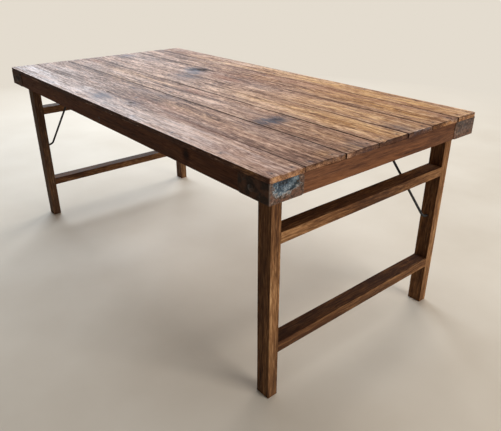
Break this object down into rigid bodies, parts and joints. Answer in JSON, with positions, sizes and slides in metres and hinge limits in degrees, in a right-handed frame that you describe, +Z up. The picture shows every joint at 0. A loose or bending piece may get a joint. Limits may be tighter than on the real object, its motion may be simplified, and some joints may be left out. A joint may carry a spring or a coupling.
{
  "type": "folding dining table",
  "caption": "Rectangular plank-topped dining table of worn wood on two folding leg frames, each held open by an iron stay rod, with iron straps at the corners of the apron.",
  "frame": {"origin": "on the floor under the middle of the table top", "axes": "+X along the planks, +Y across them, +Z up; the stays are on the back right and front left legs"},
  "size_m": [1.846, 0.944, 0.76],
  "materials": {
    "top_wood": "worn waxed planks, mixed browns",
    "apron_wood": "dark reddish stain, worn",
    "frame_wood": "dark stain, rubbed through to tan",
    "strap_iron": "old blue-grey paint over rust",
    "black_iron": "blackened iron, slight sheen"
  },
  "bodies": {
    "table_top": {"top_plank_1": "top_wood", "top_plank_2": "top_wood", "top_plank_3": "top_wood", "top_plank_4": "top_wood", "top_plank_5": "top_wood", "top_plank_6": "top_wood", "top_plank_7": "top_wood", "side_rail_front": "apron_wood", "side_rail_back": "apron_wood", "end_rail_left": "apron_wood", "end_rail_right": "apron_wood", "middle_rail": "apron_wood", "stay_batten_right": "apron_wood", "stay_batten_left": "apron_wood", "screw_eye_right": "black_iron", "screw_eye_left": "black_iron", "corner_strap_front_right": "strap_iron", "pivot_bolt_front_right": "black_iron", "corner_strap_front_left": "strap_iron", "pivot_bolt_front_left": "black_iron", "corner_strap_back_right": "strap_iron", "pivot_bolt_back_right": "black_iron", "corner_strap_back_left": "strap_iron", "pivot_bolt_back_left": "black_iron", "spacer_washers": "black_iron", "nut_washers": "black_iron", "pivot_nuts": "black_iron", "plank_nails": "black_iron", "rail_nails": "black_iron", "strap_nails": "black_iron", "batten_screws": "black_iron"},
    "right_leg_frame": {"leg_front_right": "frame_wood", "leg_back_right": "frame_wood", "upper_rail_right": "frame_wood", "lower_rail_right": "frame_wood", "rail_pegs_right": "frame_wood"},
    "left_leg_frame": {"leg_front_left": "frame_wood", "leg_back_left": "frame_wood", "upper_rail_left": "frame_wood", "lower_rail_left": "frame_wood", "rail_pegs_left": "frame_wood"},
    "right_stay": {"stay_rod_right": "black_iron"},
    "left_stay": {"stay_rod_left": "black_iron"}
  },
  "joints": [
    {"name": "right_leg_fold", "type": "hinge", "parent": "table_top", "child": "right_leg_frame", "pos_m": [0.8525, 0, 0.714], "axis": [0, 1, 0], "range_deg": [0, 90]},
    {"name": "left_leg_fold", "type": "hinge", "parent": "table_top", "child": "left_leg_frame", "pos_m": [-0.8525, 0, 0.714], "axis": [0, -1, 0], "range_deg": [0, 90]},
    {"name": "right_stay_swing", "type": "hinge", "parent": "table_top", "child": "right_stay", "pos_m": [0.62493, 0.294, 0.70296], "axis": [-0.8232, 0, -0.5678], "range_deg": [0, 100]},
    {"name": "left_stay_swing", "type": "hinge", "parent": "table_top", "child": "left_stay", "pos_m": [-0.62493, -0.294, 0.70296], "axis": [0.8232, 0, -0.5678], "range_deg": [0, 100]}
  ],
  "couplings": [
    {"joint": "right_stay_swing", "follows": "right_leg_fold", "ratio": 1.1111},
    {"joint": "left_stay_swing", "follows": "left_leg_fold", "ratio": 1.1111}
  ]
}
